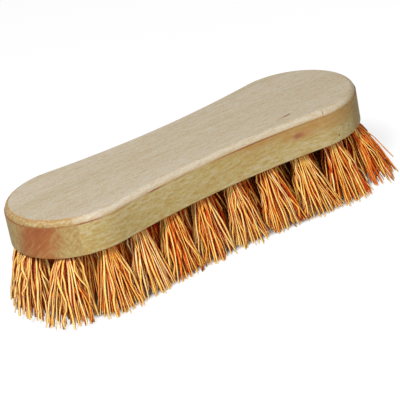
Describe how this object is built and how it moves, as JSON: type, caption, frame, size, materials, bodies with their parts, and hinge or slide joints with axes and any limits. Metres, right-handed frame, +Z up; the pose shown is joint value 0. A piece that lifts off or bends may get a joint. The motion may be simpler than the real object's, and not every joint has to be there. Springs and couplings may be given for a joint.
{
  "type": "scrub brush",
  "caption": "Hand scrub brush with a waisted hardwood block, rounded top edge and staple-set tufts of coarse plant fibre.",
  "frame": {"origin": "middle of the brush in the plane of the fibre tips, on which it stands", "axes": "+Z up from the tips to the flat top of the block, +X along the block"},
  "size_m": [0.2321, 0.0782, 0.057],
  "materials": {
    "wood": "bare pale hardwood, planed smooth, unvarnished",
    "fibre": "coarse dry plant fibre, slightly glossy",
    "wire": "drawn flat wire"
  },
  "bodies": {
    "root": {"block": "wood", "outer_tuft_01": "fibre", "outer_tuft_02": "fibre", "outer_tuft_03": "fibre", "outer_tuft_04": "fibre", "outer_tuft_05": "fibre", "outer_tuft_06": "fibre", "outer_tuft_07": "fibre", "outer_tuft_08": "fibre", "outer_tuft_09": "fibre", "outer_tuft_10": "fibre", "outer_tuft_11": "fibre", "outer_tuft_12": "fibre", "outer_tuft_13": "fibre", "outer_tuft_14": "fibre", "outer_tuft_15": "fibre", "outer_tuft_16": "fibre", "outer_tuft_17": "fibre", "outer_tuft_18": "fibre", "outer_tuft_19": "fibre", "outer_tuft_20": "fibre", "outer_tuft_21": "fibre", "outer_tuft_22": "fibre", "inner_tuft_01": "fibre", "inner_tuft_02": "fibre", "inner_tuft_03": "fibre", "inner_tuft_04": "fibre", "inner_tuft_05": "fibre", "inner_tuft_06": "fibre", "inner_tuft_07": "fibre", "inner_tuft_08": "fibre", "inner_tuft_09": "fibre", "inner_tuft_10": "fibre", "inner_tuft_11": "fibre", "inner_tuft_12": "fibre", "inner_tuft_13": "fibre", "inner_tuft_14": "fibre", "inner_tuft_15": "fibre", "inner_tuft_16": "fibre", "inner_tuft_17": "fibre", "inner_tuft_18": "fibre", "inner_tuft_19": "fibre", "inner_tuft_20": "fibre", "middle_tuft_01": "fibre", "middle_tuft_02": "fibre", "middle_tuft_03": "fibre", "middle_tuft_04": "fibre", "middle_tuft_05": "fibre", "middle_tuft_06": "fibre", "middle_tuft_07": "fibre", "middle_tuft_08": "fibre", "staples": "wire"}
  },
  "joints": []
}
